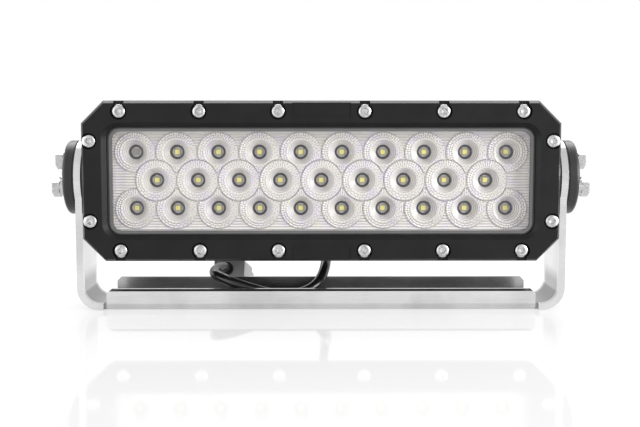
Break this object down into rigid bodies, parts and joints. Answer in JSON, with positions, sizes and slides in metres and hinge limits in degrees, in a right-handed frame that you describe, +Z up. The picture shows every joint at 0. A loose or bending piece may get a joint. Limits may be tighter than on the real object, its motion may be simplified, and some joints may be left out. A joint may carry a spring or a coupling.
{
  "type": "led light bar",
  "caption": "Rectangular LED work light bar with a bolted front frame, clear lens over rows of lamps, and a tilting U bracket with a base flange.",
  "frame": {"origin": "centre of the underside of the bracket's base, on the axis of the centre mounting hole, directly below the tilt axis", "axes": "+X to the right seen from the front, along the tilt axis; +Y to the rear, the lens faces -Y; +Z up"},
  "size_m": [0.4028, 0.1327, 0.1564],
  "materials": {
    "brushed_stainless": "satin, brushed along the strip",
    "cable_jacket": "semi-gloss jacket",
    "connector_grey": "moulded, fine matt",
    "black_rubber": "matt",
    "orange_rubber": "matt",
    "orange_plastic": "moulded",
    "contact_brass": "bright",
    "housing_coat": "satin black powder coat on cast aluminium",
    "bezel_coat": "satin black powder coat on machined aluminium",
    "disc_coat": "satin black anodised",
    "screw_stainless": "turned, bright",
    "bolt_steel": "zinc plated, dull",
    "grey_silicone": "matt silicone",
    "lens_glass": "clear",
    "optic_clear": "clear moulded optic, pearly under studio light",
    "board_white": "white solder mask",
    "led_ceramic": "ceramic package",
    "led_phosphor": "yellow phosphor",
    "thermal_grey": "matt gap pad",
    "board_green": "green solder mask",
    "ferrite": "matt black",
    "capacitor_sleeve": "shrink sleeve",
    "terminal_green": "moulded",
    "lead_red": "wire insulation",
    "lead_yellow": "wire insulation",
    "gland_nylon": "moulded nylon",
    "washer_nylon": "plain"
  },
  "bodies": {
    "bracket_base": {"bracket": "brushed_stainless", "cable": "cable_jacket", "connector_body": "connector_grey", "connector_cable_seal": "black_rubber", "connector_interface_seal": "orange_rubber", "connector_wedge": "orange_plastic", "connector_terminals": "contact_brass"},
    "light_head": {"housing": "housing_coat", "bezel": "bezel_coat", "bezel_screws": "screw_stainless", "lens_gasket": "grey_silicone", "lens_cover": "lens_glass", "housing_seal": "grey_silicone", "optic_panel": "optic_clear", "led_board": "board_white", "led_packages": "led_ceramic", "led_chips": "led_phosphor", "led_board_screws": "screw_stainless", "thermal_pad": "thermal_grey", "driver_board": "board_green", "driver_standoffs": "contact_brass", "driver_screws": "screw_stainless", "driver_inductors": "ferrite", "driver_capacitors": "capacitor_sleeve", "driver_transistors": "ferrite", "driver_terminal": "terminal_green", "power_leads": "lead_red", "board_leads": "lead_yellow", "lead_grommet": "black_rubber", "rear_cover": "housing_coat", "rear_cover_gasket": "grey_silicone", "rear_cover_screws": "screw_stainless", "gland_body": "gland_nylon", "gland_locknut": "contact_brass", "gland_seal": "grey_silicone", "gland_nut": "gland_nylon", "gland_boot": "black_rubber", "cable_inner_end": "cable_jacket", "vent_plug": "gland_nylon", "pivot_disc_left": "disc_coat", "pivot_disc_right": "disc_coat", "pivot_bolts_left": "bolt_steel", "pivot_bolts_right": "bolt_steel", "spring_washers_left": "bolt_steel", "spring_washers_right": "bolt_steel", "flat_washers_left": "bolt_steel", "flat_washers_right": "bolt_steel", "outer_friction_washer_left": "washer_nylon", "outer_friction_washer_right": "washer_nylon", "inner_friction_washer_left": "washer_nylon", "inner_friction_washer_right": "washer_nylon"}
  },
  "joints": [
    {"name": "tilt", "type": "hinge", "parent": "bracket_base", "child": "light_head", "pos_m": [0, 0, 0.0989], "axis": [1, 0, 0], "range_deg": [-45, 45], "deforming": ["cable"]}
  ]
}
